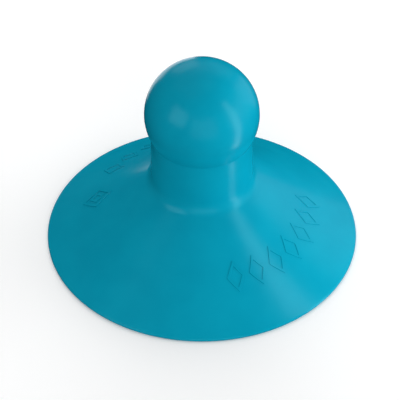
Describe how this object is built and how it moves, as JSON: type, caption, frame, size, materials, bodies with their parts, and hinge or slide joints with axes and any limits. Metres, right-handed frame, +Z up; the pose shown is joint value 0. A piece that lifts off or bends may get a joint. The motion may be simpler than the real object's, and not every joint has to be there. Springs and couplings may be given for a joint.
{
  "type": "suction cup",
  "caption": "Soft rubber suction cup with a thin conical skirt, a short round neck and a ball handle that is pressed down to seal and pulled to lift.",
  "frame": {"origin": "centre of the circle that the sealing lip rests on, at the bottom of the part", "axes": "+Z up along the axis of the cup and its handle, from the sealing lip to the ball"},
  "size_m": [0.055, 0.055, 0.0391],
  "materials": {
    "silicone": "satin"
  },
  "bodies": {
    "rim": {"sealing_lip": "silicone"},
    "skirt_1": {"skirt_ring_1": "silicone"},
    "skirt_2": {"skirt_ring_2": "silicone"},
    "skirt_3": {"skirt_ring_3": "silicone"},
    "skirt_4": {"skirt_ring_4": "silicone"},
    "hub": {"crown": "silicone", "root_collar": "silicone", "neck_lower": "silicone"},
    "neck": {"neck_upper": "silicone"},
    "ball": {"ball_grip": "silicone"}
  },
  "joints": [
    {"name": "press", "type": "slide", "parent": "rim", "child": "hub", "axis": [0, 0, -1], "range_m": [0, 0.007], "stiffness_N_per_m": 1200},
    {"name": "skirt_1_sink", "type": "slide", "parent": "rim", "child": "skirt_1", "axis": [0, 0, -1], "range_m": [0, 0.0008], "stiffness_N_per_m": 50},
    {"name": "skirt_2_sink", "type": "slide", "parent": "rim", "child": "skirt_2", "axis": [0, 0, -1], "range_m": [0, 0.0024], "stiffness_N_per_m": 50},
    {"name": "skirt_3_sink", "type": "slide", "parent": "rim", "child": "skirt_3", "axis": [0, 0, -1], "range_m": [0, 0.004], "stiffness_N_per_m": 50},
    {"name": "skirt_4_sink", "type": "slide", "parent": "rim", "child": "skirt_4", "axis": [0, 0, -1], "range_m": [0, 0.0056], "stiffness_N_per_m": 50},
    {"name": "lean_fore_aft", "type": "hinge", "parent": "hub", "child": "neck", "pos_m": [0, 0, 0.018], "axis": [1, 0, 0], "range_deg": [-15, 15], "stiffness_Nm_per_rad": 0.3, "deforming": ["neck_lower"]},
    {"name": "lean_side", "type": "hinge", "parent": "neck", "child": "ball", "pos_m": [0, 0, 0.0222], "axis": [0, 1, 0], "range_deg": [-15, 15], "stiffness_Nm_per_rad": 0.3, "deforming": ["neck_upper"]}
  ],
  "couplings": [
    {"joint": "skirt_1_sink", "follows": "press", "ratio": 0.1026},
    {"joint": "skirt_2_sink", "follows": "press", "ratio": 0.3269},
    {"joint": "skirt_3_sink", "follows": "press", "ratio": 0.5513},
    {"joint": "skirt_4_sink", "follows": "press", "ratio": 0.7756}
  ]
}
